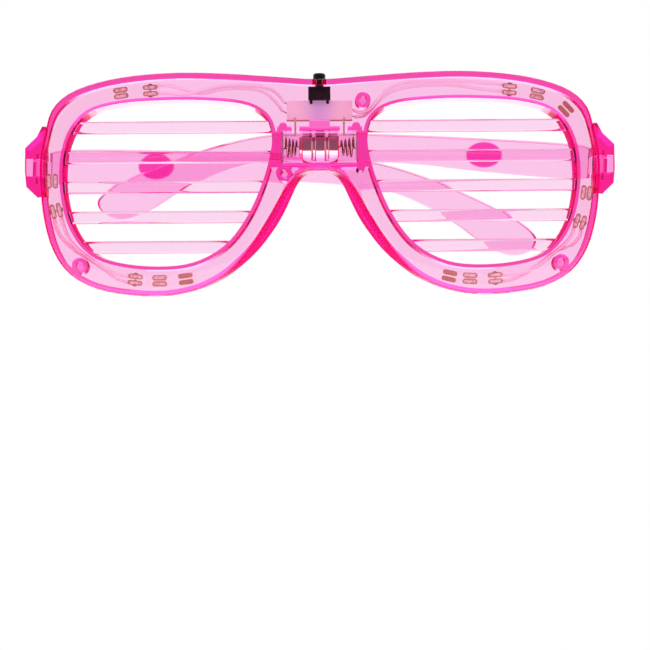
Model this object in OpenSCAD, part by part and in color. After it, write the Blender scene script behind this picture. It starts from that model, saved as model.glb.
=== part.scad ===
// Light-up slatted party glasses: a moulded front shell with louvres instead of lenses, a rear cover,
// three button cells, a circuit board, film strips with lamps, and two folding temples.
// X runs to the wearer's left in the picture, Z is up, and the front faces -Y.

/* [Front shell] */
// Depth of the front shell, without the rear cover
shell_depth = 9.8; // [9.2:0.1:11]
// Thickness of the shell's front face
face_t = 1.3; // [1:0.1:1.6]
// Thickness of the outer wall
wall_t = 1.7; // [1.5:0.1:1.8]
// Thickness of the walls round the two eye openings
eye_wall_t = 1.2; // [1.1:0.1:1.3]
// Growth of the two eye openings from the back of the shell to its front
eye_draft = 0.3; // [0:0.1:0.5]
// Radius of the front edge
edge_r = 1.2; // [0.4:0.1:1.5]
// Height of the nose rest's wings over the front outline, at the back
nose_flare = 2.4; // [1:0.2:3]

/* [Slats] */
// Number of slats in each eye opening
slat_count = 5; // [3:1:5]
// Height of one slat
slat_h = 3.4; // [2.6:0.1:4]
// Thickness of one slat
slat_t = 1.5; // [1:0.1:1.8]
// Distance from slat to slat
slat_pitch = 8.14; // [7:0.02:8.3]
// Height of the top slat's centre over the base
slat_top_z = 46; // [44:0.2:47]

/* [Rear cover] */
// Thickness of the rear cover
cover_t = 1.2; // [1:0.1:1.6]
// Radius of the back edge
back_edge_r = 0.6; // [0.3:0.1:0.9]
// Gap round the battery door
door_gap = 0.15; // [0.1:0.05:0.3]
// Gap between the cover and the hinge blocks
cover_gap = 0.1; // [0.05:0.05:0.3]

/* [Temples] */
// Thickness of a temple
temple_t = 2.4; // [2:0.1:2.6]
// Angle of each folded temple to the front
fold_angle = 1.2; // [1.1:0.05:1.6]
// Lean of the two hinge pins, as the temples sit when folded
pin_lean = 2.3; // [0:0.1:3]
// Height of the hinge pins' centre
hinge_z = 35.3; // [34:0.1:36]
// Distance of the hinge pins from the middle
hinge_x = 76.8; // [76.6:0.1:77]
// Radius of a temple's knuckle
knuckle_r = 2.4; // [2.1:0.1:2.4]
// Height of a temple's knuckle
knuckle_h = 4.4; // [3.8:0.1:4.6]
// Radius of a moulded hinge pin
pin_r = 1.2; // [0.9:0.05:1.4]
// Length of a moulded hinge pin
pin_l = 1.5; // [1:0.1:1.8]
// Gap between a hinge pin and its bore
pin_gap = 0.06; // [0.03:0.01:0.09]
// Gap over and under a knuckle
knuckle_gap = 0.15; // [0.1:0.05:0.25]

/* [Batteries] */
// Diameter of a button cell
cell_d = 7.9; // [7:0.1:7.9]
// Thickness of a button cell
cell_t = 3.6; // [3:0.1:3.6]
// Height of the cells' centre
cell_z = 40.45; // [40.3:0.05:40.5]
// Diameter of the spring wire
spring_wire = 0.5; // [0.35:0.05:0.5]

/* [Switch] */
// Width and depth of the switch body
switch_w = 6; // [5:0.1:6.2]
// Height of the switch body
switch_h = 3.3; // [2.8:0.1:3.4]
// Radius of the button cap
cap_r = 1.7; // [1.3:0.1:1.8]
// Travel of the button
button_travel = 0.3; // [0.2:0.05:0.5]

/* [Circuit and lamps] */
// Width of the circuit board
board_w = 17.9; // [16:0.1:18.5]
// Height of the circuit board
board_h = 5.4; // [5:0.1:5.5]
// Thickness of the circuit board
board_t = 1; // [0.8:0.1:1.2]
// Width of the film that carries the lamps
film_w = 3.4; // [3:0.1:3.6]
// Thickness of the film
film_t = 0.2; // [0.15:0.05:0.3]
// Diameter of a wire
wire_d = 0.9; // [0.7:0.05:1]

/* [Hidden] */

// Smoothness of round pieces
$fn = 48;
// Steps between two points of a smooth outline
outline_steps = 3;
eye_steps = 4;
temple_steps = 4;
// Steps round a quarter of a rounded edge
edge_steps = 3;
// Small overlap that lets one cut run clear of a face
past = 1;

// The hinge pins lie this far behind the front face, so that both temples fold behind the cover
fold_gap = 0.3;
temple_length = 137.6;
front_back = shell_depth + cover_t;
hinge_depth = front_back + fold_gap + temple_t / 2 + temple_length * tan(fold_angle);
total_depth = hinge_depth + temple_length * tan(fold_angle) + temple_t / 2;
// The front face, so that the middle of the whole depth is at y = 0
front_y = -total_depth / 2;
hinge_y = front_y + hinge_depth;
face_in = front_y + face_t;
shell_back = front_y + shell_depth;
cover_back = front_y + front_back;

// Right half of the outline at the back of the rear cover, from the top middle to the nose arch:
// x, z, and the share of the nose flare that this point has
half_outline = [[0, 58.55, 0], [12, 59.3, 0], [25, 60.2, 0], [38, 60.55, 0], [50, 59.8, 0],
    [60, 58, 0], [67.8, 55, 0], [72.6, 50.6, 0.1], [75.3, 44.5, 0.5], [76.2, 37, 0.2],
    [76, 29, 0.2], [74.6, 20.5, 0], [72.2, 12.4, 0], [67.8, 6.2, 0], [60.5, 2.1, 0],
    [51, 0.3, 0], [42, 0, 0], [34.5, 1.3, 0], [28.8, 3.6, 0], [23.5, 6.9, 0.2],
    [17, 12.7, 0.7], [11.4, 20.2, 1], [8.3, 26.2, 0.9], [6.2, 30.6, 0.5], [3.9, 33.1, 0.15],
    [0, 33.75, 0]];
// Right eye opening, clockwise from its top inner corner
eye_points = [[15.2, 48.8], [21, 51.6], [32, 52.7], [43, 52.7], [54, 51.9], [62.5, 49.4],
    [67.3, 43.6], [69.2, 35.5], [68.8, 26.5], [66.4, 18.4], [61.7, 12.4], [54.5, 9.5],
    [44, 8.4], [34.5, 9.4], [26.3, 13.7], [20.6, 20.6], [16.6, 28.7], [14, 36.8], [13.1, 44]];
// Side view of a temple from its hinge pin: along, up
temple_edge = [[2.95, 4.6], [9, 6], [37.5, 6.7], [63, 6.8], [80, 6.4], [93, 5.2], [106.3, 1.7],
    [118.8, -3.1], [129.6, -8], [135.2, -11.5], [temple_length, -14.6], [136, -17.6], [132, -19.1],
    [127.4, -18.5], [122.3, -15.9], [115.6, -11.3], [107, -6.5], [94.5, -2.3], [75, -0.9], [50, -1.2],
    [35, -2.4], [10, -3.8], [2.95, -3.4]];

// Point at share t of the smooth curve between b and c
function curve_point(a, b, c, d, t) = 0.5 * (2 * b + (c - a) * t
    + (2 * a - 5 * b + 4 * c - d) * t * t + (3 * b - a - 3 * c + d) * t * t * t);
// Smooth closed curve through points
function closed_curve(p, steps) = let (n = len(p)) [for (i = [0:n - 1], j = [0:steps - 1])
    curve_point(p[(i + n - 1) % n], p[i], p[(i + 1) % n], p[(i + 2) % n], j / steps)];
// Smooth open curve through points
function open_curve(p, steps) = let (n = len(p) - 1) concat([for (i = [0:n - 1], j = [0:steps - 1])
    curve_point(p[max(i - 1, 0)], p[i], p[i + 1], p[min(i + 2, n)], j / steps)], [p[n]]);
// A right half and its mirror image, as one clockwise list
function both_halves(h) = concat(h, [for (i = [len(h) - 2:-1:1]) [-h[i].x, h[i].y, h[i][2]]]);
// Direction out of a clockwise outline at one of its points
function outward(p, i) = let (n = len(p), a = p[(i + n - 1) % n], b = p[(i + 1) % n],
    d = [b.x - a.x, b.y - a.y]) [-d.y, d.x] / norm(d);
// Outline moved outwards by d
function grown(p, d) = [for (i = [0:len(p) - 1]) [p[i].x, p[i].y] + outward(p, i) * d];
// Side faces between rings of n points
function side_faces(rings, n) = [for (r = [0:rings - 2], i = [0:n - 1], k = [0, 1]) k == 0
    ? [r * n + i, (r + 1) * n + i, r * n + (i + 1) % n]
    : [r * n + (i + 1) % n, (r + 1) * n + i, (r + 1) * n + (i + 1) % n]];
// Index of the leftmost point
function leftmost(p) = let (xs = [for (q = p) q.x]) search(min(xs), xs)[0];
// Triangles that fill a clockwise outline whose upper and lower edges each run one way in x, from i
// points along the upper edge and j points along the lower edge, counted from its leftmost point l
function fill(p, l, i = 1, j = 0) = let (n = len(p), up = (l + i) % n, low = (l + n - j) % n)
    i + j == n - 1 ? [] : p[(up + 1) % n].x < p[(low + n - 1) % n].x
    ? concat([[low, up, (up + 1) % n]], fill(p, l, i + 1, j))
    : concat([[low, up, (low + n - 1) % n]], fill(p, l, i, j + 1));

outline = closed_curve(both_halves(half_outline), outline_steps);
eye = closed_curve(eye_points, eye_steps);
temple_curve = open_curve(temple_edge, temple_steps);

// Outline at a depth behind the front face, shrunk by inset: the nose rest's wings grow to the cover
function outline_at(depth, inset) = [for (i = [0:len(outline) - 1])
    [outline[i].x, outline[i].y] + outward(outline, i)
        * (-inset - nose_flare * outline[i][2] * max(1 - depth / shell_depth, 0))];
// Rings of a rounded edge of radius r: [depth from the rounded end, inset]
function edge_rings(r) = [for (k = [0:edge_steps])
    [r * (1 - cos(90 * k / edge_steps)), r * (1 - sin(90 * k / edge_steps))]];

// Solid between rings, each [y, outline]
module loft(rings) {
    first = rings[0][1];
    last = rings[len(rings) - 1][1];
    n = len(first);
    last_at = (len(rings) - 1) * n;
    polyhedron([for (r = rings, p = r[1]) [p.x, r[0], p.y]], concat(fill(first, leftmost(first)),
        [for (t = fill(last, leftmost(last))) [for (k = [2, 1, 0]) last_at + t[k]]],
        side_faces(len(rings), n)));
}

// Front-view shape carried from depth y a to y b
module carried(a, b) {
    translate([0, b, 0]) rotate([90, 0, 0]) linear_extrude(b - a) children();
}

// A child and its mirror image
module both_sides() {
    children();
    mirror([1, 0, 0]) children();
}

// Round bar along Y, whose seam is on top
module bar_y(x, z, a, b, r) {
    translate([x, a, z]) rotate([-90, -90, 0]) cylinder(r = r, h = b - a);
}

// Main values of the battery bay
bay_half = 10.3;
bay_wall = 1.2;
bay_floor_z = cell_z - cell_d / 2 - 0.6;
bay_top_z = cell_z + cell_d / 2 + 0.15;
bay_bar_half = 5.5;
bay_stub_in = 7.7;
post_r = 1.1;
cell_y = face_in + 0.3 + cell_d / 2;
stack_l = 3 * cell_t;
stack_x = -0.2;

// Bosses that the cover's pegs press into: x, z
boss_places = [[11.8, 52.8], [-65.1, 8.6], [65.1, 8.7]];
boss_r = 2.1;
peg_r = 1;
peg_gap = 0.05;
peg_l = 4;
// The open boss beside the battery bay, and the raised disc that mirrors it
bay_boss = [-9.8, bay_floor_z - 2.75];
disc_place = [12, 29.4];

// Hinge block seen from the front, right side
block_outline = [[74.1, 46.2], [75, 46.2], [76.5, 43.4], [79.65, 40.4], [79.75, 34],
    [79.4, 29.9], [76.3, 26.9], [74.1, 27.4]];
block_in_x = 74.1;
block_front = 0.9;
slot_front = 5.5;
slot_wall_x = 74.9;
lug_r = 2.75;
slot_h = knuckle_h + 2 * knuckle_gap;

// Places one side's hinge at the origin, with its pin along Z: side is -1 or 1
module at_hinge(side) {
    translate([side * hinge_x, hinge_y, hinge_z]) rotate([0, pin_lean, 0]) children();
}

// Solid hinge block with two lugs behind it, before the slot is cut
module block_body() {
    intersection() {
        carried(front_y + block_front, hinge_y + lug_r) polygon(block_outline);
        union() {
            translate([block_in_x - past, front_y, 20]) cube([10, hinge_depth, 30]);
            translate([hinge_x, hinge_y - lug_r, 20]) cube([10, 2 * lug_r, 30]);
            translate([hinge_x, hinge_y, 20]) cylinder(r = lug_r, h = 30);
        }
    }
}

// Slot for the knuckle and bores for its two pins
module hinge_cuts(side) {
    at_hinge(side) {
        translate([-6, cover_back - hinge_y, -slot_h / 2]) cube([12, 12, slot_h]);
        cylinder(r = pin_r + pin_gap, h = slot_h + 2 * pin_l + 0.4, center = true);
    }
    slot_deep = cover_back + past - front_y - slot_front;
    slot_x = side * (slot_wall_x + 4) - 4;
    translate([slot_x, front_y + slot_front, hinge_z - slot_h / 2]) cube([8, slot_deep, slot_h]);
}

// Room of the right eye opening in the shell, wider at the front
module eye_cut() {
    slope = eye_draft / shell_depth;
    loft([[front_y - past, grown(eye, eye_draft + slope * past)],
        [shell_back + past, grown(eye, -slope * past)]]);
}

// One slat with fully rounded long edges, over the whole width of an eye opening
module slat(z) {
    slat_y = front_y + shell_depth / 2;
    edge = slat_h / 2 - slat_t / 2;
    x_in = min([for (q = eye) q.x]) - 2 * eye_wall_t;
    x_out = max([for (q = eye) q.x]) + 2 * eye_wall_t;
    translate([x_in, slat_y, z]) rotate([90, 0, 90]) linear_extrude(x_out - x_in) {
        square([slat_t, 2 * edge], center = true);
        translate([0, edge]) circle(d = slat_t);
        translate([0, -edge]) circle(d = slat_t);
    }
}

// Slats of the right eye opening, ending inside its wall
module slats() {
    intersection() {
        union() for (k = [0:slat_count - 1]) slat(slat_top_z - k * slat_pitch);
        carried(front_y, shell_back) polygon(grown(eye, (eye_wall_t + eye_draft) / 2));
    }
}

// Walls of the battery bay, its posts and the stem that carries the circuit board
module bay_walls() {
    stem_half = 2.8;
    carried(face_in - past / 2, shell_back) {
        both_sides() {
            translate([bay_half, bay_floor_z - bay_wall])
                square([bay_wall, bay_top_z - bay_floor_z + 2 * bay_wall]);
            translate([bay_stub_in, bay_top_z]) square([bay_half - bay_stub_in, bay_wall]);
        }
        translate([-bay_half - bay_wall, bay_floor_z - bay_wall])
            square([2 * (bay_half + bay_wall), bay_wall]);
        translate([-bay_bar_half, bay_top_z]) square([2 * bay_bar_half, bay_wall]);
        both_sides() polygon([[bay_half + 0.1, bay_floor_z - bay_wall], [13.8, bay_floor_z - bay_wall],
            [13, 38], [12.6, 41], [12.4, bay_top_z], [bay_half + 0.1, bay_top_z]]);
    }
    carried(face_in - past / 2, board_y + board_t + 0.6)
        translate([-stem_half, bay_top_z]) square([2 * stem_half, board_z - bay_top_z]);
    for (x = [-1, 1])
        bar_y(x * (bay_half - 0.4), bay_top_z + bay_wall, face_in - past / 2, shell_back, post_r);
    bar_y(bay_half + bay_wall - 0.25, bay_floor_z - 1.1, face_in - past / 2, shell_back, post_r);
}

// Battery door tongues, and the notches that they need when grown by gap
door_tongue_w = 3;
door_tongue_x = 6;
module door_tongues(gap) {
    tongue_t = 0.8;
    for (x = [-door_tongue_x, door_tongue_x])
        translate([x - door_tongue_w / 2 - gap, shell_back - tongue_t - gap, door_low - 0.9 - gap])
            cube([door_tongue_w + 2 * gap, tongue_t + gap, 2.2 + 2 * gap]);
    translate([-2 - gap, shell_back - tongue_t - gap, door_high - 1.6 - gap])
        cube([4 + 2 * gap, tongue_t + gap, 2.1 + 2 * gap]);
}

door_low = bay_floor_z - 0.5;
door_high = bay_top_z + 0.5;
door_half = bay_half + 0.3;

button_hole_r = cap_r + 0.3;
board_y = front_y + 5;
board_z = bay_top_z + 2.85;
switch_z = board_z + board_h + 0.05;
switch_y = front_y + shell_depth / 2 + 0.6;
cap_z = half_outline[0].y + button_travel / 2;

// Front shell: face, walls, slats, bosses, battery bay and hinge blocks in one moulding
module front_shell() {
    color([1, 0.45, 0.78, 0.6]) {
        difference() {
            union() {
                difference() {
                    loft(concat([for (e = edge_rings(edge_r)) [front_y + e[0], outline_at(e[0], e[1])]],
                        [[shell_back, outline_at(shell_depth, 0)]]));
                    carried(face_in, shell_back + past) difference() {
                        polygon(outline_at(shell_depth / 2, wall_t));
                        both_sides() polygon(grown(eye, eye_wall_t));
                    }
                }
                both_sides() block_body();
                bay_walls();
                for (b = boss_places) bar_y(b.x, b.y, face_in - past / 2, shell_back, boss_r);
                bar_y(bay_boss.x, bay_boss.y, face_in - past / 2, shell_back - 0.2, boss_r);
                bar_y(disc_place.x, disc_place.y, face_in - past / 2, face_in + 0.4, 1.2);
            }
            both_sides() eye_cut();
            for (b = concat(boss_places, [bay_boss]))
                bar_y(b.x, b.y, face_in + 0.8, shell_back + past, peg_r + peg_gap);
            for (side = [-1, 1]) hinge_cuts(side);
            translate([0, switch_y, 50]) cylinder(r = button_hole_r, h = 12);
            door_tongues(door_gap);
        }
        both_sides() slats();
    }
}

// Rear cover: a plate over the whole back, with pegs, eye openings and the door opening
module rear_cover() {
    color([1, 0.5, 0.8, 0.5]) {
        difference() {
            loft(concat([[shell_back, outline_at(shell_depth, 0)]],
                [for (k = [edge_steps:-1:0]) let (e = edge_rings(back_edge_r)[k])
                    [cover_back - e[0], outline_at(front_back, e[1])]]));
            carried(shell_back - past, cover_back + past) both_sides() {
                polygon(eye);
                polygon(grown(block_outline, cover_gap));
            }
            translate([-door_half - door_gap, shell_back - past, door_low - door_gap])
                cube([2 * (door_half + door_gap), cover_t + 2 * past, door_high - door_low + 2 * door_gap]);
        }
        for (b = boss_places) bar_y(b.x, b.y, shell_back - peg_l, shell_back + cover_t / 2, peg_r);
    }
}

// Battery door: a flush plate with thumb grooves, two lower tongues and a snap tongue
module battery_door() {
    groove_pitch = 1.6;
    color([1, 0.5, 0.8, 0.5]) difference() {
        union() {
            translate([-door_half, shell_back, door_low])
                cube([2 * door_half, cover_t, door_high - door_low]);
            door_tongues(0);
        }
        for (k = [-1:1]) translate([-4, cover_back, cell_z + k * groove_pitch])
            rotate([0, 90, 0]) cylinder(r = 0.45, h = 8);
    }
}

// One button cell, lying on its side, with its smaller cap to the left
module button_cell(n) {
    cap_h = 0.7;
    rim = 0.3;
    rest_x = stack_x - stack_l / 2 + n * cell_t;
    color([0.75, 0.74, 0.72]) translate([rest_x, cell_y, cell_z]) rotate([0, 90, 0]) rotate_extrude()
        polygon([[0, 0], [cell_d / 2 - 1.1, 0], [cell_d / 2 - 0.9, 0.2], [cell_d / 2 - 0.9, cap_h],
            [cell_d / 2 - rim, cap_h], [cell_d / 2, cap_h + rim], [cell_d / 2, cell_t - rim],
            [cell_d / 2 - rim, cell_t], [0, cell_t]]);
}

plate_t = 0.4;
plate_w = 6.6;
cells_left = stack_x - stack_l / 2;
cells_right = stack_x + stack_l / 2;
spring_small = 1.8;
spring_large = 2.7;
spring_turns = 3.5;

// Contact plate against one end wall of the bay: side is -1 or 1
module contact_plate(side) {
    color([0.8, 0.78, 0.74]) translate([side * (bay_half - plate_t / 2), cell_y, cell_z]) {
        cube([plate_t, plate_w, plate_w], center = true);
        translate([0, -plate_w / 4, plate_w / 2]) cube([plate_t, 1.6, 1.2], center = true);
    }
}

// Centre line of a conical spring from the plate (x a, radius ra) to the cells (x b, radius rb)
function spring_line(a, b, ra, rb, turns) = let (steps = turns * 8, lead = spring_wire, s = sign(b - a),
    run = b - a - 2 * s * lead) concat([[a, ra, 0]], [for (i = [0:steps]) let (t = i / steps,
    r = ra + (rb - ra) * t) [a + s * lead + run * t, r * cos(360 * turns * t), r * sin(360 * turns * t)]],
    [[b, rb * cos(360 * turns), rb * sin(360 * turns)]]);
// Least distance between two stretches of a line that are half a turn or more apart, less the wire
function least_gap(p) = min([for (i = [0:len(p) - 6], j = [i + 5:len(p) - 1]) norm(p[i] - p[j])])
    - spring_wire;
// Cross direction and the next one, for a ring at point i of a line
function side_of(p, i) = let (n = len(p) - 1, d = p[min(i + 1, n)] - p[max(i - 1, 0)],
    u = abs(d.x) > 0.9 * norm(d) ? [0, p[i].y, p[i].z] : [1, 0, 0]) cross(d, u) / norm(cross(d, u));
function next_side(p, i) = let (n = len(p) - 1, d = p[min(i + 1, n)] - p[max(i - 1, 0)],
    c = cross(d, side_of(p, i))) c / norm(c);
// Rings of a tube of radius r and m sides along a line
function tube_rings(p, r, m) = [for (i = [0:len(p) - 1], k = [0:m - 1])
    p[i] + r * (side_of(p, i) * cos(360 * k / m) + next_side(p, i) * sin(360 * k / m))];

// Tube of m sides along a line
module tube(p, r, m) {
    polyhedron(tube_rings(p, r, m), concat([[for (k = [0:m - 1]) k]],
        [[for (k = [m - 1:-1:0]) (len(p) - 1) * m + k]], side_faces(len(p), m)));
}

spring_left_line = spring_line(-bay_half + plate_t, cells_left, spring_large, spring_small, spring_turns);
spring_right_line = spring_line(bay_half - plate_t, cells_right, spring_large, spring_small, spring_turns);
echo(least_spring_gap = min(least_gap(spring_left_line), least_gap(spring_right_line)));

// Conical battery spring along a line
module battery_spring(line) {
    color([0.7, 0.66, 0.6]) translate([0, cell_y, cell_z]) tube(line, spring_wire / 2, 6);
}

// Thin lead from a contact plate up to the circuit board's front face, through the bay's top wall
module battery_lead(side) {
    lead_r = 0.25;
    lead_y = board_y - lead_r;
    gap_x = (bay_stub_in + bay_bar_half) / 2;
    color([0.6, 0.5, 0.45]) {
        translate([side * (bay_half - plate_t), lead_y, bay_top_z - 0.9]) rotate([0, -side * 90, 0])
            cylinder(r = lead_r, h = bay_half - plate_t - gap_x + lead_r);
        translate([side * gap_x, lead_y, bay_top_z - 0.9 - lead_r])
            cylinder(r = lead_r, h = board_z + 1 - bay_top_z + 0.9 + lead_r);
    }
}

// Circuit board, upright behind the face and under the switch
module circuit_board() {
    color([0.93, 0.78, 0.82]) translate([-board_w / 2, board_y, board_z]) cube([board_w, board_t, board_h]);
}

// Drop of black resin over the driver chip, on the back of the board
module driver_blob() {
    blob_r = 2.1;
    blob_h = 1.2;
    blob_z = board_z + blob_r + 0.4;
    ball_r = (blob_r * blob_r + blob_h * blob_h) / (2 * blob_h);
    color([0.08, 0.08, 0.1]) intersection() {
        translate([0, board_y + board_t + blob_h - ball_r, blob_z]) sphere(r = ball_r);
        bar_y(0, blob_z, board_y + board_t, board_y + board_t + 2 * blob_h, blob_r);
    }
}

// Resistor on the back of the board
module board_resistor() {
    color([0.15, 0.15, 0.16]) translate([4.6, board_y + board_t, board_z + 1.6]) cube([2, 0.6, 1.2]);
}

solder_r = 0.9;
solder_h = 0.7;
solder_ball_r = (solder_r * solder_r + solder_h * solder_h) / (2 * solder_h);

// Drop of solder that stands on the plane y = 0 towards +Y
module solder_drop() {
    intersection() {
        translate([0, solder_h - solder_ball_r, 0]) sphere(r = solder_ball_r);
        translate([0, 0.001, 0]) rotate([-90, 0, 0]) cylinder(r = solder_r, h = 2);
    }
}

board_joint_x = board_w / 2 - 1.2;
board_joint_z = [board_z + 1.5, board_z + 4];

// Solder on the front of the board, where the four supply wires end
module board_solder() {
    color([0.72, 0.7, 0.68]) for (x = [-board_joint_x, board_joint_x], z = board_joint_z)
        translate([x, board_y, z]) mirror([0, 1, 0]) solder_drop();
}

switch_cover_t = 0.3;
button_shaft_r = 1.15;
button_flange_r = 1.6;
shaft_gap = 0.1;
flange_h = 0.8;
flange_z = switch_z + switch_h - 0.05;

// Body of the push switch, on the board's top edge
module switch_body() {
    color([0.06, 0.05, 0.07]) difference() {
        translate([-switch_w / 2, switch_y - switch_w / 2, switch_z]) cube([switch_w, switch_w, switch_h]);
        translate([0, switch_y, flange_z - flange_h - button_travel - 0.1])
            cylinder(r = button_flange_r + shaft_gap, h = 5);
    }
}

// Thin metal cover of the switch, with a tab bent down over the front
module switch_cover() {
    tab_w = 4.4;
    tab_t = 0.2;
    tab_l = 0.9;
    color([0.5, 0.45, 0.45]) difference() {
        union() {
            translate([-switch_w / 2, switch_y - switch_w / 2, switch_z + switch_h])
                cube([switch_w, switch_w, switch_cover_t]);
            translate([-tab_w / 2, switch_y - switch_w / 2 - tab_t, switch_z + switch_h])
                cube([tab_w, switch_w + 2 * tab_t, switch_cover_t]);
            for (y = [switch_y - switch_w / 2 - tab_t, switch_y + switch_w / 2])
                translate([-tab_w / 2, y, switch_z + switch_h - tab_l])
                    cube([tab_w, tab_t, tab_l + switch_cover_t]);
        }
        translate([0, switch_y, switch_z]) cylinder(r = button_shaft_r + shaft_gap, h = 6);
    }
}

// Four pins that straddle the board
module switch_pins() {
    pin_w = 0.7;
    pin_t = 0.25;
    pin_low = 0.9;
    color([0.7, 0.68, 0.66]) for (x = [-2.25, 2.25], y = [board_y - pin_t, board_y + board_t])
        translate([x - pin_w / 2, y, switch_z - pin_low]) cube([pin_w, pin_t, pin_low]);
}

// Button: a flange under the switch's cover, a shaft through the shell's top wall, and a cap
module switch_button() {
    cap_h = 1.8;
    chamfer = 0.35;
    color([0.07, 0.07, 0.08]) translate([0, switch_y, 0]) rotate_extrude()
        polygon([[0, flange_z - flange_h], [button_flange_r, flange_z - flange_h],
            [button_flange_r, flange_z], [button_shaft_r, flange_z], [button_shaft_r, cap_z],
            [cap_r, cap_z], [cap_r, cap_z + cap_h - chamfer], [cap_r - chamfer, cap_z + cap_h],
            [0, cap_z + cap_h]]);
}

// Centre lines of the films, x outwards and z up: stretches of the eye outline, moved outwards.
// The left ones sit a few millimetres further in or out, as hand-laid strips do.
function eye_stretch(from, to, out) = let (line = grown(eye, out)) [for (i = [from:to]) line[i]];
side_film_out = 3.1;
bottom_film_out = 4.1;
side_path_right = eye_stretch(14, 36, side_film_out);
side_path_left = eye_stretch(12, 35, side_film_out);
bottom_path_right = eye_stretch(46, 52, bottom_film_out);
bottom_path_left = eye_stretch(45, 52, bottom_film_out);
film_y = face_in;
pad_t = 0.1;
pad_y = film_y + film_t;
pad_l = 4;
pad_w = 1.3;
lamp_t = 1.2;
// Places along each film, from its first end: solder, lamp, and on the side films a second lamp
// and solder
side_marks_right = [2.6, 10.2, 43.2, 51.2];
side_marks_left = [2.6, 10.6, 44.8, 52.9];
bottom_marks_right = [2.6, 9.4];
bottom_marks_left = [2.6, 9.2];
// Places of pads that carry nothing
side_bare_right = 19.1;
bottom_bare_right = 15;
bottom_bare_left = 16.3;

// Length of a line of points, place at a length along it, and its direction there
function length_to(p, k) = k == 0 ? 0 : norm(p[k] - p[k - 1]) + length_to(p, k - 1);
function stretch(p, s) = max([for (k = [0:len(p) - 2]) if (length_to(p, k) <= s || k == 0) k]);
function point_at(p, s) = let (k = stretch(p, s), t = (s - length_to(p, k)) / norm(p[k + 1] - p[k]))
    p[k] + (p[k + 1] - p[k]) * t;
function angle_at(p, s) = let (k = stretch(p, s), d = p[k + 1] - p[k]) atan2(d.y, d.x);

// Front-view band of one width along a line, cut square at its ends
module band(p, w) {
    n = len(p) - 1;
    sides = [for (i = [0:n]) let (d = p[min(i + 1, n)] - p[max(i - 1, 0)]) [-d.y, d.x] / norm(d) * w / 2];
    polygon(concat([for (i = [0:n]) p[i] + sides[i]], [for (i = [n:-1:0]) p[i] - sides[i]]));
}

// Film of clear plastic against the inside of the face
module film(path) {
    color([1, 0.86, 0.93, 0.6]) carried(film_y, film_y + film_t) band(path, film_w);
}

// Pair of round-ended copper pads at each mark of a path
module pad_pairs(path, marks) {
    color([0.75, 0.42, 0.32]) carried(pad_y, pad_y + pad_t) for (s = marks)
        translate(point_at(path, s)) rotate(angle_at(path, s)) for (v = [-1, 1]) translate([0, v * 0.85]) {
            square([pad_l - pad_w, pad_w], center = true);
            for (u = [-1, 1]) translate([u * (pad_l - pad_w) / 2, 0]) circle(d = pad_w);
        }
}

// Two solder drops on the pads of each mark
module solder_pairs(path, marks) {
    color([0.7, 0.62, 0.58]) for (s = marks, v = [-1, 1]) let (c = point_at(path, s))
        translate([c.x, pad_y + pad_t, c.y]) rotate([0, -angle_at(path, s), 0])
            translate([0, 0, v * 0.95]) solder_drop();
}

// Lamp on the pads of one mark: a moulded body with a round window
module lamp(path, s) {
    c = point_at(path, s);
    color([0.96, 0.93, 0.88]) translate([c.x, pad_y + pad_t, c.y]) rotate([0, -angle_at(path, s), 0])
        difference() {
            translate([-1.6, 0, -1.4]) cube([3.2, lamp_t, 2.8]);
            translate([0, lamp_t - 0.3, 0]) rotate([-90, 0, 0]) cylinder(r = 1.1, h = past);
        }
}

// Hand-laid wire routes, as points x, depth behind the front face, and z
supply_left = [[[-7.7, 4.3, 51.2], [-8.8, 3.6, 53.2], [-11, 3, 55.7], [-15, 2.7, 56.6], [-20.4, 2.7, 57],
    [-27.5, 2.7, 56.7], [-32.2, 2.7, 55.6], [-36, 2.7, 54.8], [-41, 2.5, 55], [-45.9, 2.2, 55.1]],
    [[-7.7, 4.3, 48.7], [-9.8, 4, 50.4], [-11.6, 4, 53.3], [-15, 3.9, 55.5], [-20.4, 3.8, 56.2],
    [-27.3, 3.8, 55.9], [-32, 3.7, 55], [-36.5, 3.7, 56], [-41, 3, 57], [-45.9, 2.2, 57]]];
supply_right = [[[7.7, 4.3, 51.2], [8.8, 3.8, 49.9], [10.9, 3, 49.7], [13.5, 2.7, 50.6], [16, 2.7, 53.2],
    [18.6, 2.7, 55.7], [23, 2.7, 57.3], [30, 2.7, 57.8], [37, 2.7, 57.8], [44.5, 2.6, 57.2],
    [51.1, 2.2, 56.6]],
    [[7.7, 4.3, 48.7], [9.6, 4.2, 48.6], [11.8, 3.9, 49.2], [14, 3.8, 50.9], [16.4, 3.8, 52.9],
    [19.4, 3.8, 55], [24, 3.8, 56.3], [30, 3.8, 56.8], [37, 3.8, 56.7], [44.5, 3.3, 55.6],
    [51.1, 2.2, 54.8]]];
link_left = [[[-70.4, 2.2, 23.2], [-69.4, 2.5, 19.2], [-67.9, 2.8, 15.6], [-65.2, 2.8, 12.6],
    [-61.6, 2.8, 10], [-58, 2.7, 7.6], [-54.2, 2.5, 5.9], [-50, 2.2, 5.3]],
    [[-72.2, 2.2, 23], [-71.4, 3.1, 18.8], [-69.2, 3.9, 15.2], [-66, 3.9, 12.4], [-62.2, 3.9, 10],
    [-58.6, 3.9, 7.5], [-55, 3.4, 4.9], [-50, 2.2, 3.5]]];
link_right = [[[69, 2.2, 19.4], [68.2, 2.5, 16.2], [66.2, 2.8, 13.6], [63.4, 2.8, 11.3],
    [60.2, 2.8, 8.6], [56.8, 2.7, 6.5], [52.8, 2.5, 5.5], [47.9, 2.2, 5.2]],
    [[70.7, 2.2, 18.9], [70.2, 3.1, 15.7], [68, 3.9, 13.2], [64.6, 3.9, 12], [61.2, 3.9, 9.8],
    [57.5, 3.8, 7.1], [53.2, 3.3, 4.5], [47.9, 2.2, 3.4]]];

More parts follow.
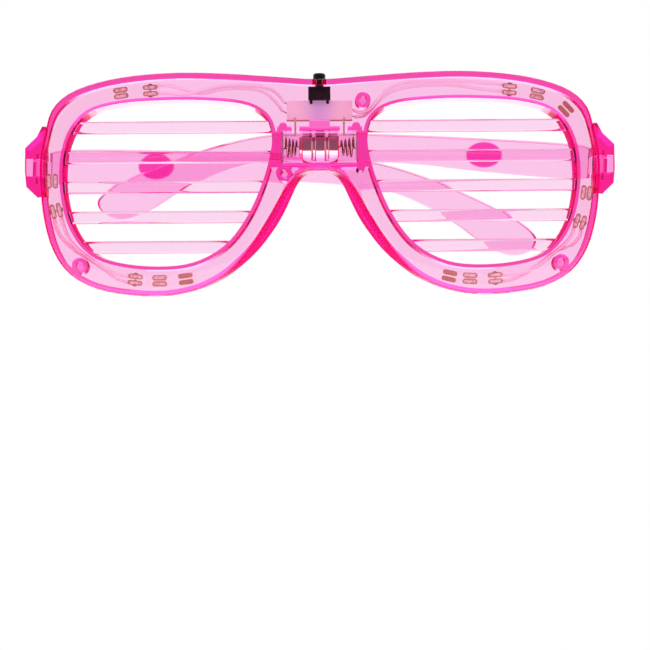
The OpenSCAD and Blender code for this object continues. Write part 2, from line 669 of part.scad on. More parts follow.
// Two wires, each along its own route
module wire_pair(routes) {
    color([0.98, 0.95, 0.96]) for (route = routes)
        tube(open_curve([for (p = route) [p.x, front_y + p.y, p.z]], 2), wire_d / 2, 8);
}

// Temple in its own place: hinge pin along Z at the origin, arm along +X, worn inside towards -Y
module temple_shape() {
    edge = 0.45;
    pad_at = 31.5;
    pad_half_l = 4.9;
    pad_half_h = 3.5;
    pad_up = 0.3;
    loft([[-temple_t / 2, grown(temple_curve, -edge)], [-temple_t / 2 + edge, temple_curve],
        [temple_t / 2 - edge, temple_curve], [temple_t / 2, grown(temple_curve, -edge)]]);
    translate([0, -temple_t / 2 + 0.1, -knuckle_h / 2]) cube([4, temple_t - 0.2, knuckle_h]);
    cylinder(r = knuckle_r, h = knuckle_h, center = true);
    cylinder(r = pin_r, h = knuckle_h + 2 * pin_l, center = true);
    translate([pad_at, -temple_t / 2 + 0.2, 2.1]) rotate([90, 0, 0]) linear_extrude(pad_up + 0.2)
        polygon([for (a = [0:12:348]) [pad_half_l * cos(a), pad_half_h * sin(a)]]);
}

// Left temple, folded behind the right one
module temple_left() {
    color([1, 0.45, 0.78, 0.6]) at_hinge(-1) rotate([0, 0, fold_angle]) temple_shape();
}

// Right temple, folded next to the cover
module temple_right() {
    color([1, 0.45, 0.78, 0.6]) at_hinge(1) rotate([0, 0, fold_angle]) mirror([1, 0, 0]) temple_shape();
}

front_shell();
rear_cover();
battery_door();
button_cell(0);  // button_cell_1
button_cell(1);  // button_cell_2
button_cell(2);  // button_cell_3
battery_spring(spring_left_line);  // battery_spring_left
battery_spring(spring_right_line);  // battery_spring_right
contact_plate(-1);  // contact_plate_left
contact_plate(1);  // contact_plate_right
battery_lead(-1);  // battery_lead_left
battery_lead(1);  // battery_lead_right
circuit_board();
driver_blob();
board_resistor();
board_solder();
switch_body();
switch_cover();
switch_pins();
switch_button();
mirror([1, 0, 0]) film(side_path_left);  // side_film_left
film(side_path_right);  // side_film_right
mirror([1, 0, 0]) film(bottom_path_left);  // bottom_film_left
film(bottom_path_right);  // bottom_film_right
mirror([1, 0, 0]) pad_pairs(side_path_left, side_marks_left);  // side_pads_left
pad_pairs(side_path_right, concat(side_marks_right, [side_bare_right]));  // side_pads_right
mirror([1, 0, 0])  // bottom_pads_left
    pad_pairs(bottom_path_left, concat(bottom_marks_left, [bottom_bare_left]));
pad_pairs(bottom_path_right, concat(bottom_marks_right, [bottom_bare_right]));  // bottom_pads_right
mirror([1, 0, 0])  // side_solder_left
    solder_pairs(side_path_left, [side_marks_left[0], side_marks_left[3]]);
solder_pairs(side_path_right, [side_marks_right[0], side_marks_right[3]]);  // side_solder_right
mirror([1, 0, 0])  // bottom_solder_left
    solder_pairs(bottom_path_left, [bottom_marks_left[0]]);
solder_pairs(bottom_path_right, [bottom_marks_right[0]]);  // bottom_solder_right
mirror([1, 0, 0]) lamp(side_path_left, side_marks_left[1]);  // lamp_top_left
lamp(side_path_right, side_marks_right[1]);  // lamp_top_right
mirror([1, 0, 0]) lamp(side_path_left, side_marks_left[2]);  // lamp_side_left
lamp(side_path_right, side_marks_right[2]);  // lamp_side_right
mirror([1, 0, 0])  // lamp_bottom_left
    lamp(bottom_path_left, bottom_marks_left[1]);
lamp(bottom_path_right, bottom_marks_right[1]);  // lamp_bottom_right
wire_pair(supply_left);  // supply_wires_left
wire_pair(supply_right);  // supply_wires_right
wire_pair(link_left);  // link_wires_left
wire_pair(link_right);  // link_wires_right
temple_left();
temple_right();
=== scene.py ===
"""Light-up slatted party glasses: a clear dyed front with its circuit inside, and two folding temples."""

import math

import bmesh
import bpy
import numpy as np
from mathutils import Matrix, Vector


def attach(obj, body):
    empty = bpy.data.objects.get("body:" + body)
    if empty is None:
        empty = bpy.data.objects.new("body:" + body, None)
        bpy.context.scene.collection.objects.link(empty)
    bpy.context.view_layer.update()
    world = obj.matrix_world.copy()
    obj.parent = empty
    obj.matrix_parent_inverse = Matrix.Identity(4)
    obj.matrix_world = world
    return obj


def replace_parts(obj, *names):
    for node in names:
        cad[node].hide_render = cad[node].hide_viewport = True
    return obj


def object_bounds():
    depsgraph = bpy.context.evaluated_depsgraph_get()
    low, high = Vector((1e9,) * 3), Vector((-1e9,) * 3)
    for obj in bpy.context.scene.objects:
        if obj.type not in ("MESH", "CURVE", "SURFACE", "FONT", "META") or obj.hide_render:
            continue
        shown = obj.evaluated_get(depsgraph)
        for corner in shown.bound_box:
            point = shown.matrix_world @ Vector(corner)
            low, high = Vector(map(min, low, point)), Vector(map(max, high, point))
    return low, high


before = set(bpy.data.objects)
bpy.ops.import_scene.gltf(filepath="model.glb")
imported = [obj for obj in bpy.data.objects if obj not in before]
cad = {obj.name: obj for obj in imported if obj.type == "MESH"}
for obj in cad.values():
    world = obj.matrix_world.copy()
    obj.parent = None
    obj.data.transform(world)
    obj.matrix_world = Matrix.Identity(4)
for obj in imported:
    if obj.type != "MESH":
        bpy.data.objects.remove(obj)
cad_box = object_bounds()

MM = 0.001
LEFT_RIGHT = ("left", "right")
SAME_PLACE = 0.002 * MM  # points nearer to one another than this are one point


# Colours and nodes


def linear(code):
    """sRGB hex to linear RGBA: the low part is a straight line, the rest a power of 2.4."""
    s = np.array([int(code[i : i + 2], 16) for i in (1, 3, 5)]) / 255
    rgb = np.where(s <= 0.04045, s / 12.92, ((s + 0.055) / 1.055) ** 2.4)
    return (*rgb.tolist(), 1.0)


def add(tree, kind, settings=None, **links):
    """Adds one node, sets its attributes, and fills its inputs with numbers or with other outputs."""
    node = tree.nodes.new(kind)
    for name, value in (settings or {}).items():
        setattr(node, name, value)
    for name, value in links.items():
        key = int(name[1:]) if name[0] == "i" and name[1:].isdigit() else name.replace("_", " ")
        if isinstance(value, bpy.types.NodeSocket):
            tree.links.new(value, node.inputs[key])
        else:
            node.inputs[key].default_value = value
    return node


def blank_material(name):
    """A material with an empty node tree but its output."""
    mat = bpy.data.materials.new(name)
    mat.use_nodes = True
    mat.node_tree.nodes.clear()
    return mat, mat.node_tree, mat.node_tree.nodes.new("ShaderNodeOutputMaterial")


def solid_finish(name, colour, roughness, metallic=0.0):
    """An opaque finish of one colour."""
    mat, tree, out = blank_material(name)
    skin = add(tree, "ShaderNodeBsdfPrincipled", None, Base_Color=linear(colour), Roughness=roughness,
               Metallic=metallic)
    tree.links.new(skin.outputs[0], out.inputs["Surface"])
    return mat


# Materials


def facing_share(tree, axis, starts, full):
    """How far a face looks along one axis of its piece: 0 where it starts to, 1 where it fully does."""
    skin = add(tree, "ShaderNodeTexCoord")
    parts = add(tree, "ShaderNodeSeparateXYZ", None, Vector=skin.outputs["Normal"])
    facing = add(tree, "ShaderNodeMath", {"operation": "ABSOLUTE"}, i0=parts.outputs[axis])
    return add(tree, "ShaderNodeMapRange", {"interpolation_type": "SMOOTHSTEP"}, Value=facing.outputs[0],
               From_Min=starts, From_Max=full, To_Min=0.0, To_Max=1.0).outputs[0]


def oval_share(tree, x, z, half_x, half_z):
    """1 inside an upright oval, given by centre and half sizes in metres, and 0 outside it."""
    place = add(tree, "ShaderNodeTexCoord").outputs["Object"]
    scaled = add(tree, "ShaderNodeMapping", {"vector_type": "TEXTURE"}, Vector=place, Location=(x, 0, z),
                 Scale=(half_x, 1, half_z))
    flat = add(tree, "ShaderNodeVectorMath", {"operation": "MULTIPLY"}, i0=scaled.outputs[0], i1=(1, 0, 1))
    away = add(tree, "ShaderNodeVectorMath", {"operation": "LENGTH"}, i0=flat.outputs[0])
    return add(tree, "ShaderNodeMapRange", {"interpolation_type": "SMOOTHSTEP"}, Value=away.outputs["Value"],
               From_Min=OVAL_ENDS, From_Max=OVAL_FULL, To_Min=0.0, To_Max=1.0).outputs[0]


def dyed_polystyrene(name, oval=None):
    """Injection-moulded clear polystyrene, dyed magenta in the mass: it takes out green first, then
    blue, and hardly any red, so thin walls look pale pink and long ways through it deep magenta.
    Its rims carry a painted pinker tint than its faces, and walls that stand upright carry a painted deep
    magenta shade and mirror little: painted shade set by which way a face points, on top of the dye's own
    deepening along long ways inside."""
    mat, tree, out = blank_material(name)
    # Painted shade: faces that turn from the front get a pinker tint, and upright walls a deep magenta, by
    # which way they point and not by any light
    edge = facing_share(tree, "Y", *EDGE_LOOKS)
    upright_painted = facing_share(tree, "X", *UPRIGHT_LOOKS)
    tint = add(tree, "ShaderNodeMix", {"data_type": "RGBA"}, i0=edge, i6=(1, 1, 1, 1), i7=EDGE_PAINTED_TINT)
    if oval:
        tint = add(tree, "ShaderNodeMix", {"data_type": "RGBA"}, i0=oval_share(tree, *oval),
                   i6=tint.outputs[2], i7=OVAL_PASSES)
    skin = add(tree, "ShaderNodeBsdfPrincipled", None, Base_Color=tint.outputs[2], Roughness=POLISH,
               IOR=STYRENE_IOR, Transmission_Weight=1.0, Specular_Tint=MIRROR_PASSES)
    painted_rim = add(tree, "ShaderNodeBsdfRefraction", None, Color=RIM_PAINTED_SHADE, Roughness=RIM_POLISH, IOR=STYRENE_IOR)
    side = add(tree, "ShaderNodeNewGeometry")
    entering = add(tree, "ShaderNodeMath", {"operation": "SUBTRACT"}, i0=1.0, i1=side.outputs["Backfacing"])
    dull_and_shaded = add(tree, "ShaderNodeMath", {"operation": "MULTIPLY"}, i0=upright_painted, i1=entering.outputs[0])
    share = add(tree, "ShaderNodeMath", {"operation": "MULTIPLY"}, i0=dull_and_shaded.outputs[0], i1=PAINTED_RIM_SHARE)
    both = add(tree, "ShaderNodeMixShader", None, i0=share.outputs[0], i1=skin.outputs[0],
               i2=painted_rim.outputs[0])
    dye = add(tree, "ShaderNodeVolumeAbsorption", None, Color=DYE_PASSES, Density=DYE_PER_M)
    tree.links.new(both.outputs[0], out.inputs["Surface"])
    tree.links.new(dye.outputs[0], out.inputs["Volume"])
    return mat


STYRENE_IOR = 1.57
# Roughness of the polished faces, and of the duller upright walls
POLISH = 0.015
RIM_POLISH = 0.05
# Flat faces mirror this share of what bare polystyrene would: the photograph's faces show hardly any glare
MIRROR_PASSES = (0.35, 0.35, 0.35, 1.0)
# Per metre, the dye takes out DYE_PER_M * (1 - colour): red 3, green 235, blue 72
DYE_PER_M = 235.0
DYE_PASSES = (0.987, 0.0, 0.694, 1.0)
# Shares of the normal at which a face starts to look like a rim or an upright wall, and fully does
EDGE_LOOKS = (0.7, 0.3)
UPRIGHT_LOOKS = (0.3, 0.7)
# Painted tint of a rim, painted deep shade of an upright wall, and how much of the wall takes that painted
# shade
EDGE_PAINTED_TINT = (1.0, 0.75, 0.9, 1.0)
RIM_PAINTED_SHADE = (1.0, 0.008, 0.42, 1.0)
PAINTED_RIM_SHARE = 0.97
# The raised oval pad on each folded temple: centre across and up, half width, half height; and what its
# rough surface lets through
TEMPLE_OVALS = {"left": (-45.3, 36.1, 4.9, 3.5), "right": (45.3, 38.7, 4.9, 3.5)}
OVAL_PASSES = (0.98, 0.1, 0.55, 1.0)
# Shares of an oval's size at which its tint ends, and is full
OVAL_ENDS = 1.08
OVAL_FULL = 0.92

shell_styrene = dyed_polystyrene("dyed_polystyrene_shell")
temple_styrene = {
    side: dyed_polystyrene(f"dyed_polystyrene_temple_{side}", [v * MM for v in oval])
    for side, oval in TEMPLE_OVALS.items()
}


def polyester_film():
    """Clear polyester film of a flexible circuit, with hardly any glare."""
    mat, tree, out = blank_material("polyester_film")
    skin = add(tree, "ShaderNodeBsdfPrincipled", None, Base_Color=linear("#FFFDFA"), Roughness=0.02,
               IOR=1.2, Transmission_Weight=0.97, Specular_Tint=MIRROR_PASSES)
    tree.links.new(skin.outputs[0], out.inputs["Surface"])
    return mat


def lamp_resin():
    """Moulded epoxy of a surface-mounted lamp: milky with a warm cast."""
    mat, tree, out = blank_material("lamp_epoxy")
    skin = add(tree, "ShaderNodeBsdfPrincipled", None, Base_Color=linear("#FFFCF6"), Roughness=0.1,
               IOR=1.53, Transmission_Weight=0.2)
    tree.links.new(skin.outputs[0], out.inputs["Surface"])
    return mat


def pad_foil():
    """Copper foil pads of the film circuits, seen through the clear film: bare brown copper, and on the
    soldered pads a pale, uneven tinned middle, placed by the pads' own pad_place attribute."""
    mat, tree, out = blank_material("bare_copper_foil")
    place = add(tree, "ShaderNodeSeparateXYZ", None,
                Vector=add(tree, "ShaderNodeAttribute", {"attribute_name": "pad_place"}).outputs["Vector"])
    reach = []
    for axis, half in (("X", TINNED_LENGTH), ("Y", TINNED_WIDTH)):
        away = add(tree, "ShaderNodeMath", {"operation": "ABSOLUTE"}, i0=place.outputs[axis])
        reach.append(add(tree, "ShaderNodeMapRange", {"interpolation_type": "SMOOTHSTEP"},
                         Value=away.outputs[0], From_Min=half + TIN_FADES, From_Max=half - TIN_FADES,
                         To_Min=0.0, To_Max=1.0).outputs[0])
    middle = add(tree, "ShaderNodeMath", {"operation": "MULTIPLY"}, i0=reach[0], i1=reach[1])
    uneven = add(tree, "ShaderNodeTexNoise", None, Vector=add(tree, "ShaderNodeTexCoord").outputs["Object"],
                 Scale=TIN_GRAIN, Detail=1.0)
    wetted = add(tree, "ShaderNodeMapRange", {"interpolation_type": "SMOOTHSTEP"}, Value=uneven.outputs[0],
                 From_Min=0.4, From_Max=0.5, To_Min=TIN_THINNEST, To_Max=1.0)
    covered = add(tree, "ShaderNodeMath", {"operation": "MULTIPLY"}, i0=middle.outputs[0],
                  i1=wetted.outputs[0])
    tinned = add(tree, "ShaderNodeMath", {"operation": "MULTIPLY"}, i0=covered.outputs[0],
                 i1=place.outputs["Z"])
    colour = add(tree, "ShaderNodeMix", {"data_type": "RGBA"}, i0=tinned.outputs[0], i6=linear("#C8866E"),
                 i7=linear("#FFF4EC"))
    skin = add(tree, "ShaderNodeBsdfPrincipled", None, Base_Color=colour.outputs[2], Roughness=0.35,
               Metallic=0.2)
    tree.links.new(skin.outputs[0], out.inputs["Surface"])
    return mat


# Shares of a pad's half length and half width that the tin covers, and over which its border fades
TINNED_LENGTH = 0.76
TINNED_WIDTH = 0.58
TIN_FADES = 0.12
# Grains of the tin per metre, and how much of the tin stays where it is thinnest
TIN_GRAIN = 1500.0
TIN_THINNEST = 0.45


def masked_laminate():
    """Paper laminate under a white mask: lilac towards the middle, warmer towards the ends, and bare brown
    along its sheared lower edge."""
    mat, tree, out = blank_material("white_masked_laminate")
    place = add(tree, "ShaderNodeTexCoord").outputs["Object"]
    parts = add(tree, "ShaderNodeSeparateXYZ", None, Vector=place)
    across = add(tree, "ShaderNodeMath", {"operation": "ABSOLUTE"}, i0=parts.outputs["X"])
    middle = add(tree, "ShaderNodeMapRange", {"interpolation_type": "SMOOTHSTEP"}, Value=across.outputs[0],
                 From_Min=LILAC_REACH, From_Max=0.0, To_Min=0.0, To_Max=1.0)
    low = add(tree, "ShaderNodeMapRange", None, Value=parts.outputs["Z"], From_Min=BOARD_LOW + BARE_ENDS,
              From_Max=BOARD_LOW + BARE_FULL, To_Min=0.0, To_Max=1.0)
    mask = add(tree, "ShaderNodeMix", {"data_type": "RGBA"}, i0=middle.outputs[0], i6=linear("#FFF6F2"),
               i7=linear("#E6E0FA"))
    colour = add(tree, "ShaderNodeMix", {"data_type": "RGBA"}, i0=low.outputs[0], i6=mask.outputs[2],
                 i7=linear("#C08462"))
    skin = add(tree, "ShaderNodeBsdfPrincipled", None, Base_Color=colour.outputs[2], Roughness=0.4)
    tree.links.new(skin.outputs[0], out.inputs["Surface"])
    return mat


BOARD_LOW = min(corner[2] for corner in cad["circuit_board"].bound_box)
# From the board's middle to where the lilac ends, and from its lower edge to where the brown ends and is full
LILAC_REACH = 6 * MM
BARE_ENDS = 0.45 * MM
BARE_FULL = 0.25 * MM
board_laminate = masked_laminate()

# Cans of the cells: bright warm metal that mirrors the dark room above and the lit table below
nickel_steel = solid_finish("nickel_plated_steel", "#F0DAD8", 0.14, metallic=1.0)
# Springs: browner and duller than the cells, so that each turn stands out against the pink
spring_steel = solid_finish("plated_spring_steel", "#A88880", 0.3, metallic=1.0)
# Contacts: pale sheet with a soft sheen
contact_steel = solid_finish("tinned_sheet_steel", "#E4D6CC", 0.35, metallic=0.6)
# Battery leads: thin tinned lines between contacts and board
lead_tin = solid_finish("tinned_copper_lead", "#EAD8D4", 0.35, metallic=0.4)
# Solder: small grey drops with a glint
tin_solder = solid_finish("tin_solder", "#C8BEB4", 0.24, metallic=1.0)
bare_copper = pad_foil()
# Drop over the chip, and the resistor: black with a soft gloss
black_resin = solid_finish("black_epoxy_resin", "#0A080C", 0.25)
# Body of the switch: the darkest block in the picture
switch_nylon = solid_finish("black_nylon", "#08050A", 0.22)
# Cover and pins of the switch: dark metal, a little lighter than the body
switch_steel = solid_finish("blackened_stamped_steel", "#2A2026", 0.3, metallic=1.0)
# Button: glossy, and blacker than the switch under it
button_abs = solid_finish("black_abs_button", "#060508", 0.12)
# Bare wire ends at the board: short orange-brown lines
strand_copper = solid_finish("stripped_copper_strand", "#B06A4C", 0.4, metallic=0.3)
# Wires: white, so that they take on the face's own pink
wire_vinyl = solid_finish("white_vinyl_insulation", "#FFFCFD", 0.35)
film_plastic = polyester_film()
lamp_epoxy = lamp_resin()

FINISHES = {
    shell_styrene: ["front_shell", "rear_cover", "battery_door"],
    temple_styrene["left"]: ["temple_left"],
    temple_styrene["right"]: ["temple_right"],
    nickel_steel: ["button_cell_1", "button_cell_2", "button_cell_3"],
    spring_steel: ["battery_spring_left", "battery_spring_right"],
    contact_steel: ["contact_plate_left", "contact_plate_right"],
    lead_tin: ["battery_lead_left", "battery_lead_right"],
    tin_solder: ["board_solder", "side_solder_left", "side_solder_right", "bottom_solder_left",
                 "bottom_solder_right"],
    board_laminate: ["circuit_board"],
    black_resin: ["driver_blob", "board_resistor"],
    switch_nylon: ["switch_body"],
    switch_steel: ["switch_cover", "switch_pins"],
    button_abs: ["switch_button"],
    film_plastic: ["side_film_left", "side_film_right", "bottom_film_left", "bottom_film_right"],
    bare_copper: ["side_pads_left", "side_pads_right", "bottom_pads_left", "bottom_pads_right"],
    lamp_epoxy: ["lamp_top_left", "lamp_top_right", "lamp_side_left", "lamp_side_right",
                 "lamp_bottom_left", "lamp_bottom_right"],
    wire_vinyl: ["supply_wires_left", "supply_wires_right", "link_wires_left", "link_wires_right"],
}
for finish, names in FINISHES.items():
    for name in names:
        cad[name].data.materials.clear()
        cad[name].data.materials.append(finish)


# Smooth shading of the moulded parts


def smoothing(limit_deg):
    """Geometry nodes that join the loose triangles and shade across every edge flatter than limit_deg."""
    group = bpy.data.node_groups.new(f"smooth_to_{limit_deg}", "GeometryNodeTree")
    group.interface.new_socket("Mesh", in_out="INPUT", socket_type="NodeSocketGeometry")
    group.interface.new_socket("Mesh", in_out="OUTPUT", socket_type="NodeSocketGeometry")
    source = add(group, "NodeGroupInput")
    joined = add(group, "GeometryNodeMergeByDistance", None, Geometry=source.outputs[0], Distance=SAME_PLACE)
    bend = add(group, "GeometryNodeInputMeshEdgeAngle")
    sharp = add(group, "ShaderNodeMath", {"operation": "GREATER_THAN"}, i0=bend.outputs[0],
                i1=math.radians(limit_deg))
    faces = add(group, "GeometryNodeSetShadeSmooth", {"domain": "FACE"}, Geometry=joined.outputs[0],
                Shade_Smooth=True)
    edges = add(group, "GeometryNodeSetShadeSmooth", {"domain": "EDGE"}, Geometry=faces.outputs[0],
                Selection=sharp.outputs[0], Shade_Smooth=False)
    sink = add(group, "NodeGroupOutput")
    group.links.new(edges.outputs[0], sink.inputs[0])
    return group


SMOOTH_LIMIT = 32
smooth_group = smoothing(SMOOTH_LIMIT)
for name, piece in cad.items():
    step = piece.modifiers.new("smooth", "NODES")
    step.node_group = smooth_group

# Clear pieces that lie on one another shrink by this much, so that a ray meets a real gap of air
AIR_GAP = 0.02 * MM
FILMS = [f"{strip}_film_{side}" for strip in ("side", "bottom") for side in LEFT_RIGHT]
for name in ["rear_cover", "battery_door", *FILMS]:
    gap = cad[name].modifiers.new("air_gap", "DISPLACE")
    gap.strength = -AIR_GAP
    gap.mid_level = 0.0


# Pads: where each point lies on its own pad


def loose_parts(mesh):
    """The vertices of each separate solid of a mesh, with points that share a place taken as one."""
    at = np.array([v.co for v in mesh.vertices])
    places, first = np.unique(np.round(at / SAME_PLACE).astype(int), axis=0, return_inverse=True)
    root = list(range(len(places)))

    def find(i):
        while root[i] != i:
            root[i] = root[root[i]]
            i = root[i]
        return i

    first = first.reshape(-1)
    for edge in mesh.edges:
        a, b = (find(first[v]) for v in edge.vertices)
        root[a] = b
    group = np.array([find(i) for i in first])
    return at, [np.flatnonzero(group == g) for g in np.unique(group)]


SOLDER_REACH = 1.7 * MM  # a pad whose middle lies this near a drop of solder or a lamp is a soldered one


def mark_pads(pads, soldered):
    """Gives each pad's points their share of its half length and half width, and 1 where it is soldered."""
    at, parts = loose_parts(pads.data)
    middles = []
    for piece in soldered:
        places, drops = loose_parts(piece.data)
        middles += [places[drop].mean(0) for drop in drops]
    middles = np.array(middles)
    value = np.zeros((len(at), 3))
    for part in parts:
        flat = at[part][:, [0, 2]]
        middle = (flat.min(0) + flat.max(0)) / 2
        axes = np.linalg.svd(flat - flat.mean(0), full_matrices=False)[2]
        along = (flat - middle) @ axes.T
        value[part, :2] = along / np.abs(along).max(0)
        near = np.hypot(*(middles[:, [0, 2]] - middle).T).min()
        value[part, 2] = float(near < SOLDER_REACH)
    marks = pads.data.attributes.new("pad_place", "FLOAT_VECTOR", "POINT")
    marks.data.foreach_set("vector", value.ravel())


STRIP_LAMPS = {"side": ("lamp_top", "lamp_side"), "bottom": ("lamp_bottom",)}
for strip, lamps in STRIP_LAMPS.items():
    for side in LEFT_RIGHT:
        soldered = [cad[f"{name}_{side}"] for name in (f"{strip}_solder", *lamps)]
        mark_pads(cad[f"{strip}_pads_{side}"], soldered)


# Supply wires, soldered behind the board as in the photograph

WIRE_R = 0.45 * MM
STRAND_R = 0.16 * MM
JOINT_R = 0.8 * MM
JOINT_DEPTH = 0.5  # of a joint, where its width is 1
# Each wire from its joint behind the board: across, behind the front face, up, in millimetres
SUPPLY_ROUTES = {
    "left": [[[-7.7, 6.4, 51.3], [-9.7, 6.2, 52.6], [-11.8, 4.4, 55], [-15, 2.8, 56.4], [-20.4, 2.7, 57],
              [-27.5, 2.7, 56.7], [-32.2, 2.7, 55.6], [-36, 2.7, 54.8], [-41, 2.5, 55], [-45.9, 2.2, 55.1]],
             [[-7.7, 6.4, 48.9], [-9.9, 6.5, 50.2], [-12.2, 5.4, 53], [-15.4, 4.1, 55.3], [-20.4, 3.8, 56.2],
              [-27.3, 3.8, 55.9], [-32, 3.7, 55], [-36.5, 3.7, 56], [-41, 3, 57], [-45.9, 2.2, 57]]],
    "right": [[[7.7, 6.4, 51.3], [9.4, 6.2, 50.2], [11.2, 4.2, 49.6], [13.7, 2.8, 50.5], [16, 2.7, 53.2],
               [18.6, 2.7, 55.7], [23, 2.7, 57.3], [30, 2.7, 57.8], [37, 2.7, 57.8], [44.5, 2.6, 57.2],
               [51.1, 2.2, 56.6]],
              [[7.7, 6.4, 48.9], [9.6, 6.6, 48.6], [11.9, 5.4, 48.8], [14.2, 4.1, 50.6], [16.4, 3.8, 52.9],
               [19.4, 3.8, 55], [24, 3.8, 56.3], [30, 3.8, 56.8], [37, 3.8, 56.7], [44.5, 3.3, 55.6],
               [51.1, 2.2, 54.8]]],
}


def placed(point):
    """A route's point in metres, in the frame."""
    return Vector((point[0] * MM, cad_box[0][1] + point[1] * MM, point[2] * MM))


def tubes(name, routes, radius, finish):
    """One mesh of smooth round tubes along the routes."""
    data = bpy.data.curves.new(name, "CURVE")
    data.dimensions = "3D"
    data.bevel_depth = radius
    data.bevel_resolution = 3
    data.resolution_u = 8
    data.use_fill_caps = True
    for route in routes:
        line = data.splines.new("BEZIER")
        line.bezier_points.add(len(route) - 1)
        for knot, point in zip(line.bezier_points, route):
            knot.co = placed(point)
            knot.handle_left_type = knot.handle_right_type = "AUTO"
    draft = bpy.data.objects.new(name + "_line", data)
    bpy.context.scene.collection.objects.link(draft)
    mesh = bpy.data.meshes.new_from_object(draft.evaluated_get(bpy.context.evaluated_depsgraph_get()))
    bpy.data.objects.remove(draft)
    return fitted(name, mesh, finish)


def fitted(name, mesh, finish):
    """A piece of the front made of this mesh."""
    mesh.name = name
    mesh.materials.clear()
    mesh.materials.append(finish)
    mesh.polygons.foreach_set("use_smooth", [True] * len(mesh.polygons))
    piece = bpy.data.objects.new(name, mesh)
    bpy.context.scene.collection.objects.link(piece)
    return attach(piece, "front")


def solder_domes(name, places, radius, finish):
    """Flattened drops of solder at these points."""
    shape = bmesh.new()
    for place in places:
        drop = bmesh.ops.create_uvsphere(shape, u_segments=20, v_segments=12, radius=radius)["verts"]
        bmesh.ops.scale(shape, vec=(1, JOINT_DEPTH, 1), verts=drop)
        bmesh.ops.translate(shape, vec=placed(place), verts=drop)
    mesh = bpy.data.meshes.new(name)
    shape.to_mesh(mesh)
    shape.free()
    return fitted(name, mesh, finish)


for side, routes in SUPPLY_ROUTES.items():
    insulated = tubes(f"supply_insulation_{side}", [route[1:] for route in routes], WIRE_R, wire_vinyl)
    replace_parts(insulated, f"supply_wires_{side}")
all_routes = [route for routes in SUPPLY_ROUTES.values() for route in routes]
tubes("supply_strands", [route[:2] for route in all_routes], STRAND_R, strand_copper)
joints = [route[0] for route in all_routes]
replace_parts(solder_domes("board_joints", joints, JOINT_R, tin_solder), "board_solder")


# Light, floor and camera

PHOTO_PX = 650
CAMERA_AWAY = 0.62  # telephoto: metres from the front face
CAMERA_X = 1.1 * MM
CAMERA_Z = -8.0 * MM
VIEW_W = 0.27 * MM * PHOTO_PX  # width of the picture at the front face
ROLL = math.radians(0.4)
SENSOR = 36.0

FRONT_Y = cad_box[0][1]
camera_data = bpy.data.cameras.new("camera")
camera_data.sensor_width = SENSOR
camera_data.lens = SENSOR * CAMERA_AWAY / VIEW_W
camera_data.clip_start = 0.01
camera = bpy.data.objects.new("camera", camera_data)
bpy.context.scene.collection.objects.link(camera)
camera.matrix_world = (
    Matrix.Translation((CAMERA_X, FRONT_Y - CAMERA_AWAY, CAMERA_Z))
    @ Matrix.Rotation(math.radians(90), 4, "X")
    @ Matrix.Rotation(-ROLL, 4, "Z")
)
bpy.context.scene.camera = camera


FACES_CROSSED = 3.5  # a ray has crossed two walls, in and out, when it has crossed more faces than this


def mirrored_once(tree):
    """1 for a ray that one surface has mirrored, outside the clear plastic or right through its walls,
    and 0 for light seen straight, through the plastic, or from a matt surface."""
    path = add(tree, "ShaderNodeLightPath")
    once = add(tree, "ShaderNodeMath", {"operation": "COMPARE"}, i0=path.outputs["Glossy Depth"], i1=1.0,
               i2=0.5)
    matt = add(tree, "ShaderNodeMath", {"operation": "LESS_THAN"}, i0=path.outputs["Diffuse Depth"], i1=0.5)
    through = add(tree, "ShaderNodeMath", {"operation": "GREATER_THAN"},
                  i0=path.outputs["Transmission Depth"], i1=FACES_CROSSED)
    clear_way = add(tree, "ShaderNodeMath", {"operation": "MAXIMUM"}, i0=through.outputs[0],
                    i1=path.outputs["Is Glossy Ray"])
    both = add(tree, "ShaderNodeMath", {"operation": "MULTIPLY"}, i0=once.outputs[0], i1=matt.outputs[0])
    return add(tree, "ShaderNodeMath", {"operation": "MULTIPLY"}, i0=both.outputs[0],
               i1=clear_way.outputs[0]).outputs[0]


def white_studio():
    """A white backdrop for what is seen straight or through the clear plastic. What is mirrored in a
    surface sees the studio instead: the white backdrop behind the glasses, and a warm dark room round
    the camera and overhead."""
    world = bpy.data.worlds.new("white_studio")
    world.use_nodes = True
    tree = world.node_tree
    tree.nodes.clear()
    out = tree.nodes.new("ShaderNodeOutputWorld")
    way = add(tree, "ShaderNodeTexCoord").outputs["Generated"]
    towards = add(tree, "ShaderNodeMapRange", {"interpolation_type": "SMOOTHSTEP"},
                  Value=add(tree, "ShaderNodeSeparateXYZ", None, Vector=way).outputs["Y"],
                  From_Min=ROOM_ENDS, From_Max=BACKDROP_FULL, To_Min=0.0, To_Max=1.0)
    studio = add(tree, "ShaderNodeMix", {"data_type": "RGBA"}, i0=towards.outputs[0], i6=ROOM_LIGHT,
                 i7=(1, 1, 1, 1))
    matt = add(tree, "ShaderNodeMath", {"operation": "GREATER_THAN"},
               i0=add(tree, "ShaderNodeLightPath").outputs["Diffuse Depth"], i1=0.5)
    level = add(tree, "ShaderNodeMix", {"data_type": "FLOAT"}, Factor=matt.outputs[0], A=1.0, B=MATT_LEVEL)
    light = add(tree, "ShaderNodeMix", {"data_type": "RGBA"}, i0=mirrored_once(tree), i6=(1, 1, 1, 1),
                i7=studio.outputs[2])
    background = add(tree, "ShaderNodeBackground", None, Color=light.outputs[2], Strength=level.outputs[0])
    tree.links.new(background.outputs[0], out.inputs["Surface"])
    return world


# Light of the warm dark room round the camera. Brightness of the studio on matt surfaces, where the
# backdrop is 1: with the darker table below, they are lit at about 1 in all. The others are sines: how
# far towards the backdrop a direction points where the room ends and where the backdrop is full.
ROOM_LIGHT = (0.27, 0.16, 0.19, 1.0)
MATT_LEVEL = 1.15
ROOM_ENDS = -0.1
BACKDROP_FULL = 0.6

bpy.context.scene.world = white_studio()


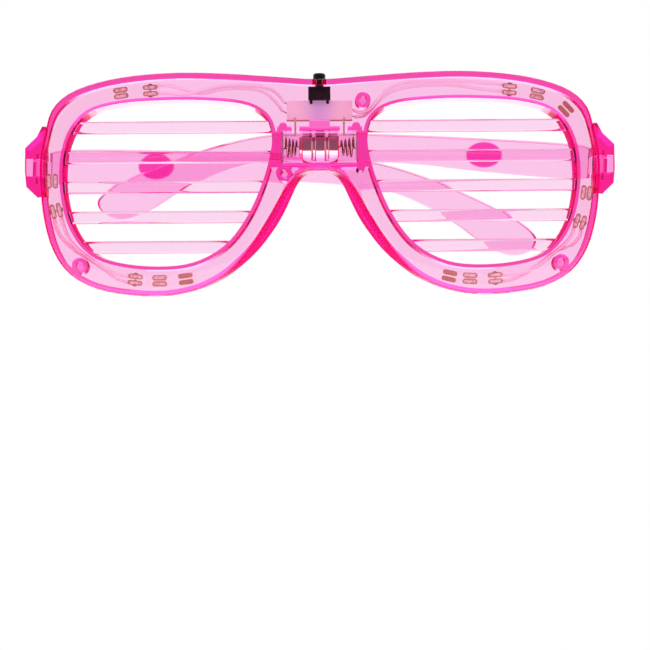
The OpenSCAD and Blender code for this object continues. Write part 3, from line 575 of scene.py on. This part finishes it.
def pale_floor():
    """White table under the glasses. It shows only from above, because the camera looks from just
    under its level, and camera rays see it nearly as white as the backdrop, with the shadow kept. The
    cells mirror it as a lit table that ends a little in front of the glasses."""
    mesh = bpy.data.meshes.new("floor")
    corners = [(x * FLOOR_HALF, y * FLOOR_HALF, FLOOR_Z) for x, y in ((-1, -1), (1, -1), (1, 1), (-1, 1))]
    mesh.from_pydata(corners, [], [(0, 1, 2, 3)])
    floor = bpy.data.objects.new("floor", mesh)
    bpy.context.scene.collection.objects.link(floor)
    mat, tree, out = blank_material("white_table")
    path = add(tree, "ShaderNodeLightPath")
    side = add(tree, "ShaderNodeNewGeometry")
    paint = add(tree, "ShaderNodeBsdfDiffuse", None, Color=linear("#E8E8E8"))
    glow = add(tree, "ShaderNodeEmission", None, Color=(1, 1, 1, 1), Strength=1.0)
    clear = add(tree, "ShaderNodeBsdfTransparent")
    share = add(tree, "ShaderNodeMath", {"operation": "MULTIPLY"}, i0=path.outputs["Is Camera Ray"],
                i1=FLOOR_GLOW)
    plain = add(tree, "ShaderNodeMixShader", None, i0=share.outputs[0], i1=paint.outputs[0],
                i2=glow.outputs[0])
    place = add(tree, "ShaderNodeSeparateXYZ", None, Vector=add(tree, "ShaderNodeTexCoord").outputs["Object"])
    light = ROOM_LIGHT
    for starts, full, colour in TABLE_ZONES:
        zone = add(tree, "ShaderNodeMapRange", {"interpolation_type": "SMOOTHSTEP"}, Value=place.outputs["Y"],
                   From_Min=starts, From_Max=full, To_Min=0.0, To_Max=1.0)
        light = add(tree, "ShaderNodeMix", {"data_type": "RGBA"}, i0=zone.outputs[0], i6=light,
                    i7=colour).outputs[2]
    mirrored = add(tree, "ShaderNodeEmission", None, Color=light, Strength=1.0)
    lit = add(tree, "ShaderNodeMixShader", None, i0=mirrored_once(tree), i1=plain.outputs[0],
              i2=mirrored.outputs[0])
    seen = add(tree, "ShaderNodeMixShader", None, i0=side.outputs["Backfacing"], i1=lit.outputs[0],
               i2=clear.outputs[0])
    tree.links.new(seen.outputs[0], out.inputs["Surface"])
    mesh.materials.append(mat)
    return floor


# Half the floor's side, its height just under the glasses, and how much of it glows white for the camera
FLOOR_HALF = 0.6
FLOOR_Z = -0.01 * MM
FLOOR_GLOW = 0.75
# The table as the pieces mirror it, from the dark room on: where along Y each zone starts and is full, and
# its light. It is warm and bright in front of the cells, and white and less bright behind them.
TABLE_ZONES = [(-95 * MM, -78 * MM, (3.0, 3.0, 2.4, 1.0)), (-8 * MM, 0.0, (1.75, 1.75, 1.75, 1.0))]
pale_floor()

scene = bpy.context.scene
scene.view_settings.view_transform = "Standard"
# Light crosses many walls of the clear shell, and the pieces inside are lit through them
scene.cycles.max_bounces = 40
scene.cycles.transmission_bounces = 32
scene.cycles.glossy_bounces = 16
scene.cycles.transparent_max_bounces = 16
scene.cycles.blur_glossy = 0.0
scene.cycles.caustics_refractive = True
scene.cycles.caustics_reflective = True
